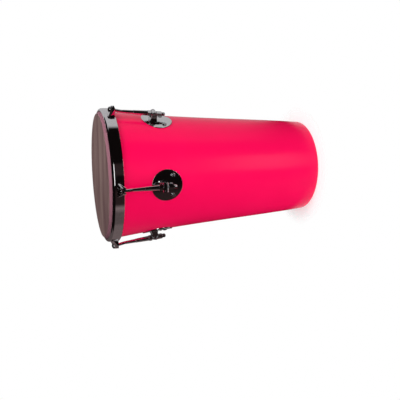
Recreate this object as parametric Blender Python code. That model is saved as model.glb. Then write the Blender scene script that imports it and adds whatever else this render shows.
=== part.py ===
"""Rebolo hand drum: a tapered shell open at its small end, one head under a tall rounded
hoop, and tension units of a headed rod, a swivel barrel, a clevis bracket and a tuning nut.

Metres, +Z up. The origin is the centre of the playing surface, so every height is negative,
and the drum stands on the rim of its small end at z = -HEIGHT. A unit is modelled at azimuth 0,
where X points away from the drum's axis, and then turned into its place.
"""

import math

import bmesh
import bpy
from mathutils import Matrix, Vector

# Clearances between pieces that touch, that are bent to fit, and that move
GAP = 0.0003
SEAT = 0.0004
RUNNING = 0.0004

# Facets round a ring, round a small piece and round a piece with a hexagon on it
RING_SIDES = 60
ROUND_SIDES = 16
HEXED_SIDES = 12
SHARP = math.radians(32)

# Shell
HEIGHT = 0.510
SMALL_R = 0.1119
HEAD_R = 0.1510
BOW = -0.0142
FLARE = 0.0152
WALL = 0.0060
RIM_ROUND = 0.0018
OUTER_BANDS = 8
INNER_BANDS = 4

# Bearing edge and head
EDGE_INSET = 0.0047
EDGE_FLAT = 0.0006
EDGE_CUT = 0.0012
FILM = 0.0010
COLLAR_SLOPE = 1.35

# Flesh hoop
FLESH_W = 0.0050
FLESH_H = 0.0100
FLESH_WALL = 0.0011
FLESH_STEP = 0.0017

# Counter hoop
HOOP_DROP = 0.0054
HOOP_H = 0.0254
HOOP_SHEET = 0.0018
HOOP_FIT = 0.0008
HOOP_TURN = 0.0057
HOOP_TURN_STEPS = 4
HOOP_HEM = 0.0006

# Tension units
UNITS = 5
FIRST_AZIMUTH = math.radians(-90)
BARREL_DROP = 0.1190
BARREL_HEIGHT = 0.0155

# Swivel barrel
BARREL_R = 0.0065
JOURNAL_R = 0.0036
BARREL_FLAT = 0.0012

# Tension rod, from its thread at the bottom to its head
ROD_R = 0.0035
ROD_TIP = 0.0008
COLLAR_FLATS = 0.0120
COLLAR_H = 0.0078
COLLAR_ABOVE_BARREL = 0.0007
COLLAR_CHAMFER = 0.0006
SHANK_R = 0.0059
SHANK_LENGTH = 0.0315
SHANK_MOUTH_R = 0.0048
SHANK_STEP = 0.0004
TAPER_END_R = 0.0037
TAPER_TO_BEND = 0.0040
NECK_LENGTH = 0.0247
NECK_LEAN = math.radians(6.2)
HEAD_RADIUS = 0.0064
HEAD_H = 0.0058

# Tuning nut
NUT_FLATS = 0.0110
NUT_HEX = 0.0120
NUT_NOSE = 0.0070
NUT_NOSE_WALL = 0.0007
ROD_PAST_NUT = 0.0014

# Hoop ear
EAR_REACH = 0.0172
EAR_H = 0.0173
EAR_BASE_HALF = 0.0170
EAR_LOW_HALF = 0.0080
EAR_NOSE_HALF = 0.0070
EAR_TIP_HALF = 0.0036
EAR_EDGE = 0.0012
EAR_ROOT = 0.0040
SEAT_REACH = 0.0102
SEAT_ABOVE_HOOP = 0.0093
SLOT_SPARE = 0.0006

# Clevis bracket
CHEEK_SPARE = 0.0010
CHEEK_T = 0.0032
CHEEK_R = 0.0066
CHEEK_SPREAD = 0.0004
FOOT_T = 0.0030
FOOT_PAST_CHEEK = 0.0020

# Lug plate and its screws
PLATE_BELOW_BARREL = 0.0075
PLATE_R = 0.0354
PLATE_T = 0.0016
PLATE_ROUND = 0.0006
PLATE_SIDES = 24
SCREW_ACROSS = 0.0224
SCREW_BELOW = 0.0133
SCREW_R = 0.0025
SCREW_HEAD_R = 0.0046
SCREW_HEAD_H = 0.0026
SCREW_PAST_NUT = 0.0016
BACK_NUT_FLATS = 0.0080
BACK_NUT_H = 0.0045
SIDES = {"left": -1, "right": 1}

BASE_Z = -HEIGHT
HOOP_TOP_Z = -HOOP_DROP
HOOP_LOW_Z = HOOP_TOP_Z - HOOP_H
BARREL_Z = -BARREL_DROP
PLATE_Z = BARREL_Z - PLATE_BELOW_BARREL


# Outline of the shell

def shell_r(z):
    """Outer radius of the shell at height z: a long taper that flares towards the head."""
    t = (z - BASE_Z) / HEIGHT
    straight = SMALL_R + (HEAD_R - SMALL_R) * t
    return straight + t * (1 - t) * (BOW + FLARE * (1 - 2 * t))


def shell_slope(z):
    """Angle between the shell's side and the drum's axis at height z."""
    step = HEIGHT / 1000
    return math.atan2(shell_r(z + step) - shell_r(z - step), 2 * step)


# Radii of what is nested at the head: the shell is straight under the hoop
SHELL_TOP_R = shell_r(HOOP_LOW_Z)
EDGE_R = SHELL_TOP_R - EDGE_INSET
FLESH_IN_R = SHELL_TOP_R + GAP
FLESH_OUT_R = FLESH_IN_R + FLESH_W
SKIRT_IN_R = FLESH_IN_R + FLESH_WALL + GAP
SKIRT_OUT_R = SKIRT_IN_R + FILM
HOOP_R = FLESH_OUT_R + HOOP_FIT + HOOP_SHEET
HOOP_TURN_R = HOOP_R - HOOP_TURN
HOOP_TURN_Z = HOOP_TOP_Z - HOOP_TURN

# The flesh hoop's outer top edge meets the facets inside the counter hoop's rolled top
TURN_IN_R = (HOOP_TURN - HOOP_SHEET) * math.cos(math.pi / 4 / HOOP_TURN_STEPS)
FLESH_TOP_Z = HOOP_TURN_Z + math.sqrt((TURN_IN_R - GAP) ** 2 - (FLESH_OUT_R - HOOP_TURN_R) ** 2)
FLESH_LOW_Z = FLESH_TOP_Z - FLESH_H

# The rod runs from the barrel to the seat in the ear, with one bend under the ear
BARREL_AXIS_R = shell_r(BARREL_Z) + BARREL_HEIGHT
SEAT_OUT = HOOP_R + SEAT_REACH - BARREL_AXIS_R
SEAT_UP = HOOP_LOW_Z + SEAT_ABOVE_HOOP - BARREL_Z
SEAT_LENGTH = math.hypot(SEAT_OUT, SEAT_UP)
BEND_AT = math.sqrt(SEAT_LENGTH ** 2 - (NECK_LENGTH * math.sin(NECK_LEAN)) ** 2) - NECK_LENGTH * math.cos(NECK_LEAN)
BEND_SHARE = math.atan2(NECK_LENGTH * math.sin(NECK_LEAN), BEND_AT + NECK_LENGTH * math.cos(NECK_LEAN))
ROD_LEAN = math.atan2(SEAT_OUT, SEAT_UP) - BEND_SHARE

# Places along the rod, from the barrel's centre
NUT_TOP = BARREL_FLAT - BARREL_R - GAP
NUT_LOW = NUT_TOP - NUT_HEX
NUT_END = NUT_LOW - NUT_NOSE
NUT_NOSE_R = ROD_R + RUNNING + NUT_NOSE_WALL
ROD_END = NUT_END - ROD_PAST_NUT
COLLAR_LOW = BARREL_R + COLLAR_ABOVE_BARREL
COLLAR_TOP = COLLAR_LOW + COLLAR_H
SHANK_MOUTH = COLLAR_TOP + SHANK_LENGTH

# The bracket's cheeks stand clear of the rod's collar, and the barrel runs between them
CHEEK_IN = COLLAR_FLATS / 2 + CHEEK_SPARE
CHEEK_OUT = CHEEK_IN + CHEEK_T


# Materials

def finish(name, colour, roughness, metallic=0.0):
    material = bpy.data.materials.new(name)
    material.use_nodes = True
    shader = material.node_tree.nodes["Principled BSDF"]
    shader.inputs["Base Color"].default_value = (*colour, 1.0)
    shader.inputs["Roughness"].default_value = roughness
    shader.inputs["Metallic"].default_value = metallic
    return material


# Meshes and objects

def clear_scene():
    for obj in list(bpy.data.objects):
        bpy.data.objects.remove(obj, do_unlink=True)


def new_mesh(name, bm):
    """A mesh with its normals out, round faces smooth and real corners sharp."""
    bmesh.ops.recalc_face_normals(bm, faces=bm.faces)
    mesh = bpy.data.meshes.new(name)
    bm.to_mesh(mesh)
    bm.free()
    mesh.shade_smooth()
    mesh.set_sharp_from_angle(angle=SHARP)
    return mesh


def turned(name, profile, closed=True):
    """A profile of (radius, height) points spun round Z. An open one starts and ends on the axis."""
    bm = bmesh.new()
    verts = [bm.verts.new((r, 0, z)) for r, z in profile]
    pairs = list(zip(verts, verts[1:]))
    if closed:
        pairs.append((verts[-1], verts[0]))
    edges = [bm.edges.new(pair) for pair in pairs]
    bmesh.ops.spin(
        bm,
        geom=verts + edges,
        cent=(0, 0, 0),
        axis=(0, 0, 1),
        angle=2 * math.pi,
        steps=RING_SIDES,
        use_merge=True,
    )
    bmesh.ops.remove_doubles(bm, verts=bm.verts, dist=GAP / 1000)
    return new_mesh(name, bm)


def lofted(name, rings, tube=False):
    """Rings of equal point counts joined one to the next. A tube's last ring meets its first."""
    bm = bmesh.new()
    loops = [[bm.verts.new(point) for point in ring] for ring in rings]
    if tube:
        loops.append(loops[0])
    else:
        bm.faces.new(loops[0])
        bm.faces.new(loops[-1])
    count = len(loops[0])
    for low, high in zip(loops, loops[1:]):
        for i in range(count):
            j = (i + 1) % count
            bm.faces.new((low[i], low[j], high[j], high[i]))
    return new_mesh(name, bm)


def hull(name, points):
    """The solid with these corners, which may be given in any order."""
    bm = bmesh.new()
    verts = [bm.verts.new(point) for point in points]
    made = bmesh.ops.convex_hull(bm, input=verts)
    loose = made["geom_interior"] + made["geom_unused"]
    inner = {item for item in loose if isinstance(item, bmesh.types.BMVert)}
    bmesh.ops.delete(bm, geom=list(inner), context="VERTS")
    bmesh.ops.dissolve_limit(bm, angle_limit=math.radians(0.5), verts=bm.verts, edges=bm.edges)
    return new_mesh(name, bm)


def arc(centre, radius, start, end, steps):
    """Points of an arc in a profile's plane, with angles in degrees."""
    angles = [math.radians(start + (end - start) * i / steps) for i in range(steps + 1)]
    return [(centre[0] + radius * math.cos(a), centre[1] + radius * math.sin(a)) for a in angles]


def circle(radius, z, sides=HEXED_SIDES):
    angles = [2 * math.pi * i / sides for i in range(sides)]
    return [(radius * math.cos(a), radius * math.sin(a), z) for a in angles]


def hexagon(flats, z):
    """A hexagon with its flats towards Y, drawn with enough points to loft to a circle."""
    points = []
    for i in range(HEXED_SIDES):
        angle = 2 * math.pi * i / HEXED_SIDES
        from_flat = angle % (math.pi / 3) - math.pi / 6
        radius = flats / 2 / math.cos(from_flat)
        points.append((radius * math.cos(angle), radius * math.sin(angle), z))
    return points


def box(name, low, high):
    return hull(name, [(x, y, z) for x in (low[0], high[0]) for y in (low[1], high[1]) for z in (low[2], high[2])])


def cylinder(name, radius, low, high, sides=HEXED_SIDES):
    return lofted(name, [circle(radius, low, sides), circle(radius, high, sides)])


def place(name, mesh, material, matrix=Matrix.Identity(4)):
    obj = bpy.data.objects.new(name, mesh)
    bpy.context.scene.collection.objects.link(obj)
    if material and not mesh.materials:
        mesh.materials.append(material)
    obj.matrix_world = matrix
    return obj


def helper(mesh, matrix=Matrix.Identity(4)):
    """A cutter or an added shape: it shapes other pieces and is no piece itself."""
    obj = place(mesh.name, mesh, None, matrix)
    obj.hide_render = True
    obj.display_type = "WIRE"
    return obj


def combined(name, mesh, cuts=(), joins=()):
    """The mesh after its unions and then its cuts, as a mesh that the five copies can share."""
    base = helper(mesh)
    for other, operation in [(o, "UNION") for o in joins] + [(o, "DIFFERENCE") for o in cuts]:
        modifier = base.modifiers.new(operation.lower(), "BOOLEAN")
        modifier.object = other
        modifier.operation = operation
        modifier.solver = "EXACT"
    bpy.context.view_layer.update()
    graph = bpy.context.evaluated_depsgraph_get()
    result = bpy.data.meshes.new_from_object(base.evaluated_get(graph))
    result.name = name
    result.shade_smooth()
    result.set_sharp_from_angle(angle=SHARP)
    bpy.data.objects.remove(base, do_unlink=True)
    return result


# Places of the units

def unit_turn(unit):
    return Matrix.Rotation(FIRST_AZIMUTH + unit * 2 * math.pi / UNITS, 4, "Z")


def rod_frame():
    """Origin at the barrel's centre, Z up the rod, X away from the drum, Y along the barrel."""
    return Matrix.Translation((BARREL_AXIS_R, 0, BARREL_Z)) @ Matrix.Rotation(ROD_LEAN, 4, "Y")


def neck_frame():
    """In the rod's frame: origin at the bend, Z up the neck."""
    return Matrix.Translation((0, 0, BEND_AT)) @ Matrix.Rotation(NECK_LEAN, 4, "Y")


def screw_frame(side):
    """Origin on the plate's outer face at a screw, Z out of the shell."""
    z = PLATE_Z - SCREW_BELOW * math.cos(shell_slope(PLATE_Z))
    radius = shell_r(z) + (SEAT + PLATE_T) / math.cos(shell_slope(z))
    across = Matrix.Rotation(side * SCREW_ACROSS / radius, 4, "Z")
    outward = Matrix.Rotation(math.pi / 2 + shell_slope(z), 4, "Y")
    return across @ Matrix.Translation((radius, 0, z)) @ outward


def place_units(name, mesh, material, frame=Matrix.Identity(4)):
    for unit in range(UNITS):
        place(f"{name}_{unit + 1}", mesh, material, unit_turn(unit) @ frame)


def place_screws(name, mesh, material):
    for unit in range(UNITS):
        for side, sign in SIDES.items():
            place(f"{name}_{unit + 1}_{side}", mesh, material, unit_turn(unit) @ screw_frame(sign))


# Shell: rim to stand on, inner side, bearing edge and outer side as one closed outline

def collar_z(r, depth):
    """Height, at radius r, of the surface that lies this deep under the film's sloping collar."""
    return -(r - collar_start_r(0)) * COLLAR_SLOPE - depth * math.hypot(1, COLLAR_SLOPE)


def collar_start_r(depth):
    """Radius where that surface leaves the flat part of the head."""
    return EDGE_R + (FILM + GAP - depth) * (math.hypot(1, COLLAR_SLOPE) - 1) / COLLAR_SLOPE


def shell_profile():
    edge_z = -FILM - GAP
    rim_top = BASE_Z + RIM_ROUND
    rise = HOOP_LOW_Z - rim_top
    inner = arc((SMALL_R - WALL + RIM_ROUND, rim_top), RIM_ROUND, -90, -180, 2)
    for i in range(1, INNER_BANDS + 1):
        z = rim_top + rise * i / INNER_BANDS
        inner.append((shell_r(z) - WALL, z))
    edge = [
        (SHELL_TOP_R - WALL, edge_z - EDGE_CUT),
        (EDGE_R - EDGE_FLAT, edge_z),
        (EDGE_R, edge_z),
        (SHELL_TOP_R, collar_z(SHELL_TOP_R, FILM + GAP)),
    ]
    outer = []
    for i in range(OUTER_BANDS, 0, -1):
        z = rim_top + rise * i / OUTER_BANDS
        outer.append((shell_r(z), z))
    return inner + edge + outer + arc((SMALL_R - RIM_ROUND, rim_top), RIM_ROUND, 0, -90, 2)


def screw_hole():
    reach = 2 * (PLATE_T + WALL)
    return cylinder("screw_hole", SCREW_R + GAP, -reach, reach)


def make_shell(material):
    hole = screw_hole()
    frames = [unit_turn(unit) @ screw_frame(sign) for unit in range(UNITS) for sign in SIDES.values()]
    cutters = [helper(hole, frame) for frame in frames]
    place("shell", combined("shell", turned("shell_blank", shell_profile()), cuts=cutters), material)


# Head: a film that lies flat, turns over the bearing edge and runs down into the flesh hoop

def make_head(material):
    foot_z = FLESH_LOW_Z + FLESH_WALL + GAP
    profile = [
        (0.0, 0.0),
        (collar_start_r(0), 0.0),
        (SKIRT_OUT_R, collar_z(SKIRT_OUT_R, 0)),
        (SKIRT_OUT_R, foot_z),
        (SKIRT_IN_R, foot_z),
        (SKIRT_IN_R, collar_z(SKIRT_IN_R, FILM)),
        (collar_start_r(FILM), -FILM),
        (0.0, -FILM),
    ]
    place("drum_head", turned("drum_head", profile, closed=False), material)


# Flesh hoop: a channel ring that grips the film's skirt, loose round the shell

def make_flesh_hoop(material):
    inner_top = FLESH_TOP_Z - FLESH_STEP
    floor = FLESH_LOW_Z + FLESH_WALL
    profile = [
        (FLESH_IN_R, FLESH_LOW_Z),
        (FLESH_OUT_R, FLESH_LOW_Z),
        (FLESH_OUT_R, FLESH_TOP_Z),
        (SKIRT_OUT_R + GAP, FLESH_TOP_Z),
        (SKIRT_OUT_R + GAP, floor),
        (SKIRT_IN_R - GAP, floor),
        (SKIRT_IN_R - GAP, inner_top),
        (FLESH_IN_R, inner_top),
    ]
    place("flesh_hoop", turned("flesh_hoop", profile), material)


# Counter hoop: a tall band with its top rolled inwards over the flesh hoop

def make_counter_hoop(material):
    centre = (HOOP_TURN_R, HOOP_TURN_Z)
    outer = arc(centre, HOOP_TURN, 0, 90, HOOP_TURN_STEPS)
    inner = arc(centre, HOOP_TURN - HOOP_SHEET, 90, 0, HOOP_TURN_STEPS)
    lip = (HOOP_TURN_R - HOOP_SHEET * 0.6, HOOP_TOP_Z - HOOP_SHEET / 2)
    foot = [
        (HOOP_R - HOOP_SHEET, HOOP_LOW_Z),
        (HOOP_R - HOOP_HEM, HOOP_LOW_Z),
        (HOOP_R, HOOP_LOW_Z + HOOP_HEM),
    ]
    place("counter_hoop", turned("counter_hoop", outer + [lip] + inner + foot), material)


# Hoop ear: a beak welded to the hoop, slotted outwards for the neck, with a seat for the rod's head

def open_slot(name, radius, reach, low, high):
    """A round hole that runs out sideways to this reach, as wide as the hole."""
    points = []
    for z in (low, high):
        points += circle(radius, z) + [(reach, radius, z), (reach, -radius, z)]
    return hull(name, points)


def make_ears(material):
    face = HOOP_R + GAP
    root = face - EAR_ROOT
    nose = HOOP_R + EAR_REACH
    low = HOOP_LOW_Z
    top = low + EAR_H
    seat = low + SEAT_ABOVE_HOOP
    outline = [
        (root, EAR_BASE_HALF, top),
        (root, EAR_BASE_HALF, top - 2 * EAR_EDGE),
        (root, EAR_LOW_HALF, low),
        (nose - 3 * EAR_EDGE, EAR_NOSE_HALF, low),
        (nose - EAR_EDGE, EAR_NOSE_HALF - EAR_EDGE, low),
        (nose, EAR_TIP_HALF, low + EAR_EDGE),
        (nose, EAR_TIP_HALF, seat - 2 * EAR_EDGE),
        (nose - EAR_EDGE, EAR_NOSE_HALF - EAR_EDGE, seat - EAR_EDGE),
        (nose - 5 * EAR_EDGE, EAR_NOSE_HALF, seat),
    ]
    beak = hull("hoop_ear_beak", [(x, side * y, z) for x, y, z in outline for side in (-1, 1)])
    neck = rod_frame() @ neck_frame()
    seat_at = NECK_LENGTH - GAP
    slot_r = ROD_R + SLOT_SPARE
    seat_r = HEAD_RADIUS + SLOT_SPARE
    far = 2 * EAR_REACH
    behind = [(face - far, low - EAR_H), (face, low - EAR_H), (face, top + EAR_H), (face - far, top + EAR_H)]
    cutters = [
        helper(turned("hoop_face", behind)),
        helper(open_slot("slot", slot_r, far, -far, 2 * far), neck),
        helper(open_slot("seat", seat_r, far, seat_at, seat_at + far), neck),
    ]
    place_units("hoop_ear", combined("hoop_ear", beak, cuts=cutters), material)


# Tension rod: thread, hexagon collar, swelling shank, bent neck and domed head

def make_rods(material):
    straight = [
        circle(ROD_R - ROD_TIP, ROD_END),
        circle(ROD_R, ROD_END + ROD_TIP),
        circle(ROD_R, COLLAR_LOW - COLLAR_CHAMFER),
        hexagon(COLLAR_FLATS, COLLAR_LOW),
        hexagon(COLLAR_FLATS, COLLAR_TOP - COLLAR_CHAMFER),
        circle(SHANK_R, COLLAR_TOP),
        circle(SHANK_MOUTH_R, SHANK_MOUTH),
        circle(SHANK_MOUTH_R - SHANK_STEP, SHANK_MOUTH + SHANK_STEP),
        circle(TAPER_END_R, BEND_AT - TAPER_TO_BEND),
    ]
    leaning = [
        circle(ROD_R, NECK_LENGTH),
        circle(HEAD_RADIUS, NECK_LENGTH),
        circle(HEAD_RADIUS, NECK_LENGTH + HEAD_H * 0.35),
        circle(HEAD_RADIUS * 0.84, NECK_LENGTH + HEAD_H * 0.75),
        circle(HEAD_RADIUS * 0.45, NECK_LENGTH + HEAD_H),
    ]
    mitre = Matrix.Translation((0, 0, BEND_AT)) @ Matrix.Rotation(NECK_LEAN / 2, 4, "Y")
    neck = neck_frame()
    rings = straight + [[mitre @ Vector(point) for point in circle(ROD_R, 0)]]
    rings += [[neck @ Vector(point) for point in ring] for ring in leaning]
    place_units("tension_rod", lofted("tension_rod", rings), material, rod_frame())


# Swivel barrel: journals in the cheeks, a cross hole for the rod and a flat for the nut

def make_barrels(material):
    across = Matrix.Rotation(math.pi / 2, 4, "X")
    half = CHEEK_IN - GAP
    sections = [
        (JOURNAL_R, -CHEEK_OUT),
        (JOURNAL_R, -half),
        (BARREL_R, -half),
        (BARREL_R, half),
        (JOURNAL_R, half),
        (JOURNAL_R, CHEEK_OUT),
    ]
    rings = [[across @ Vector(point) for point in circle(r, y, ROUND_SIDES)] for r, y in sections]
    side = 2 * CHEEK_OUT
    cutters = [
        helper(cylinder("rod_hole", ROD_R + RUNNING, -side, side)),
        helper(box("nut_flat", (-side, -side, -side), (side, side, BARREL_FLAT - BARREL_R))),
    ]
    mesh = combined("swivel_barrel", lofted("barrel_blank", rings), cuts=cutters)
    place_units("swivel_barrel", mesh, material, rod_frame())


# Clevis bracket: a foot on the plate and two round-topped cheeks with journal holes

def plate_face():
    """The space inside the plate's outer face, round the drum, for the foot to sit on."""
    spread = 1 / math.cos(math.pi / RING_SIDES)
    low = PLATE_Z - PLATE_R
    high = PLATE_Z + PLATE_R
    core_r = shell_r(low) / 2
    points = [(core_r, low)]
    for i in range(5):
        z = low + (high - low) * i / 4
        points.append(((shell_r(z) + PLATE_T + SEAT + GAP) * spread, z))
    return turned("plate_face", points + [(core_r, high)])


def make_brackets(material):
    sunk = -BARREL_HEIGHT - FOOT_T
    foot_top = PLATE_T + SEAT + GAP + FOOT_T - BARREL_HEIGHT
    spread = CHEEK_R + CHEEK_SPREAD
    cheek_side = [(sunk, -spread)] + arc((0, 0), CHEEK_R, -90, 90, 8) + [(sunk, spread)]
    cheeks = []
    for low, high in ((-CHEEK_OUT, -CHEEK_IN), (CHEEK_IN, CHEEK_OUT)):
        cheeks.append(hull("bracket_cheek", [(x, y, z) for x, z in cheek_side for y in (low, high)]))
    reach = spread + FOOT_PAST_CHEEK
    flank = reach - FOOT_T / 2
    foot_side = [(sunk, -reach), (foot_top, -flank), (foot_top, flank), (sunk, reach)]
    foot = hull("bracket_foot", [(x, y, z) for x, z in foot_side for y in (-CHEEK_OUT, CHEEK_OUT)])
    across = Matrix.Rotation(math.pi / 2, 4, "X")
    hole = cylinder("journal_hole", JOURNAL_R + RUNNING, -2 * CHEEK_OUT, 2 * CHEEK_OUT, ROUND_SIDES)
    cutters = [helper(plate_face(), rod_frame().inverted()), helper(hole, across)]
    joins = [helper(cheeks[1]), helper(foot)]
    mesh = combined("lug_bracket", cheeks[0], cuts=cutters, joins=joins)
    place_units("lug_bracket", mesh, material, rod_frame())


# Tuning nut: a long hexagon with a round nose, under the barrel

def make_nuts(material):
    bore = ROD_R + RUNNING
    rings = [
        circle(bore, NUT_TOP),
        hexagon(NUT_FLATS, NUT_TOP),
        hexagon(NUT_FLATS, NUT_LOW),
        circle(NUT_NOSE_R, NUT_LOW - COLLAR_CHAMFER),
        circle(NUT_NOSE_R - COLLAR_CHAMFER, NUT_END),
        circle(bore, NUT_END),
    ]
    place_units("tuning_nut", lofted("tuning_nut", rings, tube=True), material, rod_frame())


# Lug plate: a disc bent to the shell, drilled for its screws

def plate_point(reach, angle, lift):
    """A point of the plate at a distance and angle from its centre, lifted off its inner face."""
    slope = shell_slope(PLATE_Z)
    z = PLATE_Z + reach * math.cos(angle) * math.cos(slope)
    radius = shell_r(z) + (SEAT + lift) / math.cos(slope)
    turn = reach * math.sin(angle) / radius
    return (radius * math.cos(turn), radius * math.sin(turn), z)


def plate_ring(reach, lift):
    return [plate_point(reach, 2 * math.pi * i / PLATE_SIDES, lift) for i in range(PLATE_SIDES)]


def make_plates(material):
    middles = [PLATE_R * share for share in (0.02, 0.28, 0.52, 0.76)]
    rings = [plate_ring(reach, 0) for reach in middles]
    rings += [plate_ring(PLATE_R, 0), plate_ring(PLATE_R, PLATE_T - PLATE_ROUND)]
    rings += [plate_ring(PLATE_R - PLATE_ROUND, PLATE_T)]
    rings += [plate_ring(reach, PLATE_T) for reach in reversed(middles)]
    hole = screw_hole()
    cutters = [helper(hole, screw_frame(sign)) for sign in SIDES.values()]
    place_units("lug_plate", combined("lug_plate", lofted("plate_blank", rings), cuts=cutters), material)


# Screws, and the nuts on them inside the shell

def make_screws(material):
    face = -(SEAT + PLATE_T + WALL + 2 * GAP)
    end = face - GAP - BACK_NUT_H - SCREW_PAST_NUT
    rings = [
        circle(SCREW_R, end),
        circle(SCREW_R, GAP),
        circle(SCREW_HEAD_R, GAP),
        circle(SCREW_HEAD_R, GAP + SCREW_HEAD_H * 0.4),
        circle(SCREW_HEAD_R * 0.6, GAP + SCREW_HEAD_H),
    ]
    place_screws("lug_screw", lofted("lug_screw", rings), material)


def make_back_nuts(material):
    bore = SCREW_R + GAP
    face = -(SEAT + PLATE_T + WALL + 3 * GAP)
    end = face - BACK_NUT_H
    rings = [
        circle(bore, face),
        hexagon(BACK_NUT_FLATS, face),
        hexagon(BACK_NUT_FLATS, end),
        circle(bore, end),
    ]
    place_screws("back_nut", lofted("back_nut", rings, tube=True), material)


def main():
    clear_scene()
    pink = finish("shell_pink", (0.95, 0.01, 0.12), 0.22)
    film = finish("head_film", (0.17, 0.12, 0.11), 0.62)
    alloy = finish("flesh_hoop_alloy", (0.70, 0.70, 0.72), 0.40, 1.0)
    chrome = finish("chrome", (0.80, 0.80, 0.82), 0.10, 1.0)
    zinc = finish("zinc_plate", (0.62, 0.62, 0.64), 0.32, 1.0)
    make_shell(pink)
    make_head(film)
    make_flesh_hoop(alloy)
    make_counter_hoop(chrome)
    make_ears(chrome)
    make_rods(chrome)
    make_barrels(chrome)
    make_brackets(chrome)
    make_nuts(chrome)
    make_plates(chrome)
    make_screws(zinc)
    make_back_nuts(zinc)


main()
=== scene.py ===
import math

import bmesh
import bpy
from mathutils import Matrix, Vector


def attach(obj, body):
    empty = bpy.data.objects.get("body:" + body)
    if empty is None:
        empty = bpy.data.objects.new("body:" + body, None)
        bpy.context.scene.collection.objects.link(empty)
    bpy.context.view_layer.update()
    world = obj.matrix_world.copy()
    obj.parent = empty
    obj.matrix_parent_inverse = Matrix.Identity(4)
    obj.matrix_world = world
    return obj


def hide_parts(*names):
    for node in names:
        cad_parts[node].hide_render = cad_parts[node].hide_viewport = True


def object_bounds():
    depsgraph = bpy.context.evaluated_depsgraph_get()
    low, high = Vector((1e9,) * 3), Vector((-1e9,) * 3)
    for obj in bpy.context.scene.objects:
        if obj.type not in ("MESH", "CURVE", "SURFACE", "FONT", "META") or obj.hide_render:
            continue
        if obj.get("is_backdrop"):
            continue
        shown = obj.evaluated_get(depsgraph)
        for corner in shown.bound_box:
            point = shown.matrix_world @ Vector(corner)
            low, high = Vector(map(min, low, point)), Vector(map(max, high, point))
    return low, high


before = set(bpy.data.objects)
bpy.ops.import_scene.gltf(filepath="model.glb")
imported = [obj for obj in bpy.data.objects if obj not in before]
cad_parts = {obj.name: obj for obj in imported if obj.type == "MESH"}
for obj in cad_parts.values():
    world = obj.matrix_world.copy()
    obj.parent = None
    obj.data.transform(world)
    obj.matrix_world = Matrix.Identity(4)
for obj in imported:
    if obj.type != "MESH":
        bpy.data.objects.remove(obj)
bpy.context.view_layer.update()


# Shell. Birch plywood bent to a long taper that flares towards the head, with its bearing edge
# and its standing rim turned after gluing. The wood is bare inside and sealed with a thin varnish.
# Heights are measured from the playing surface, so they are negative.

HEIGHT = 0.510
SMALL_R = 0.1119
HEAD_R = 0.1510
BOW = -0.0142
FLARE = 0.0152
WALL = 0.0060
RIM_ROUND = 0.0018
HOOP_LOW_Z = -0.0308
EDGE_R = 0.142375
EDGE_Z = -0.0013
EDGE_FLAT = 0.0006
EDGE_CUT = 0.0012
LAMINATE = 0.0008
LAMINATE_TOP_Z = -0.0125
TRIM_GAP = 0.0002
RING_SIDES = 240

# The film of the head, which the bearing edge is cut to, and the clearance of pieces that touch
FILM = 0.0010
COLLAR_SLOPE = 1.35
GAP = 0.0003
COLLAR_START_R = EDGE_R + (FILM + GAP) * (math.hypot(1, COLLAR_SLOPE) - 1) / COLLAR_SLOPE


def shell_r(z):
    t = (z + HEIGHT) / HEIGHT
    straight = SMALL_R + (HEAD_R - SMALL_R) * t
    return straight + t * (1 - t) * (BOW + FLARE * (1 - 2 * t))


def shell_slope(z):
    step = HEIGHT / 1000
    return math.atan2(shell_r(z + step) - shell_r(z - step), 2 * step)


SHELL_TOP_R = shell_r(HOOP_LOW_Z)


def linear(hex_colour):
    """A colour written as sRGB hex, as linear RGBA."""
    channels = [int(hex_colour[i:i + 2], 16) / 255 for i in (1, 3, 5)]
    return [c / 12.92 if c <= 0.04045 else ((c + 0.055) / 1.055) ** 2.4 for c in channels] + [1.0]


def add_node(owner, kind, inputs=None, stops=None, **settings):
    """Adds a node: its settings, its ramp's stops, and its sockets' values or links."""
    tree = owner.node_tree
    node = tree.nodes.new(kind)
    for name, value in settings.items():
        setattr(node, name, value)
    if stops:
        elements = node.color_ramp.elements
        while len(elements) < len(stops):
            elements.new(0.5)
        for element, (position, colour) in zip(elements, stops):
            element.position = position
            element.color = linear(colour)
    for socket, value in (inputs or {}).items():
        if isinstance(value, bpy.types.NodeSocket):
            tree.links.new(value, node.inputs[socket])
        else:
            node.inputs[socket].default_value = value
    return node


def new_material(name, **sockets):
    """A material with a Principled shader, and its number sockets set by name."""
    material = bpy.data.materials.new(name)
    material.use_nodes = True
    shader = material.node_tree.nodes["Principled BSDF"]
    for socket, value in sockets.items():
        shader.inputs[socket.replace("_", " ")].default_value = value
    return material, shader.inputs, material.node_tree.links


def new_piece(name, bm, material, crease=34):
    """A mesh object with its normals out, smooth over round faces and sharp at real corners."""
    bmesh.ops.recalc_face_normals(bm, faces=bm.faces)
    mesh = bpy.data.meshes.new(name)
    bm.to_mesh(mesh)
    bm.free()
    mesh.materials.append(material)
    mesh.shade_smooth()
    mesh.set_sharp_from_angle(angle=math.radians(crease))
    piece = bpy.data.objects.new(name, mesh)
    bpy.context.scene.collection.objects.link(piece)
    return piece


def turn(profile, closed=True, steps=RING_SIDES):
    """A profile of (radius, height) points spun round Z. An open one starts and ends on the axis."""
    bm = bmesh.new()
    verts = [bm.verts.new((r, 0, z)) for r, z in profile]
    edges = [bm.edges.new(pair) for pair in zip(verts, verts[1:])]
    if closed:
        edges.append(bm.edges.new((verts[-1], verts[0])))
    bmesh.ops.spin(
        bm,
        geom=verts + edges,
        cent=(0, 0, 0),
        axis=(0, 0, 1),
        angle=2 * math.pi,
        steps=steps,
        use_merge=True,
    )
    bmesh.ops.remove_doubles(bm, verts=bm.verts, dist=1e-7)
    return bm


def arc(centre, radius, start, end, steps):
    """Points of an arc in a profile's plane, with angles in degrees."""
    angles = [math.radians(start + (end - start) * i / steps) for i in range(steps + 1)]
    return [(centre[0] + radius * math.cos(a), centre[1] + radius * math.sin(a)) for a in angles]


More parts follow.
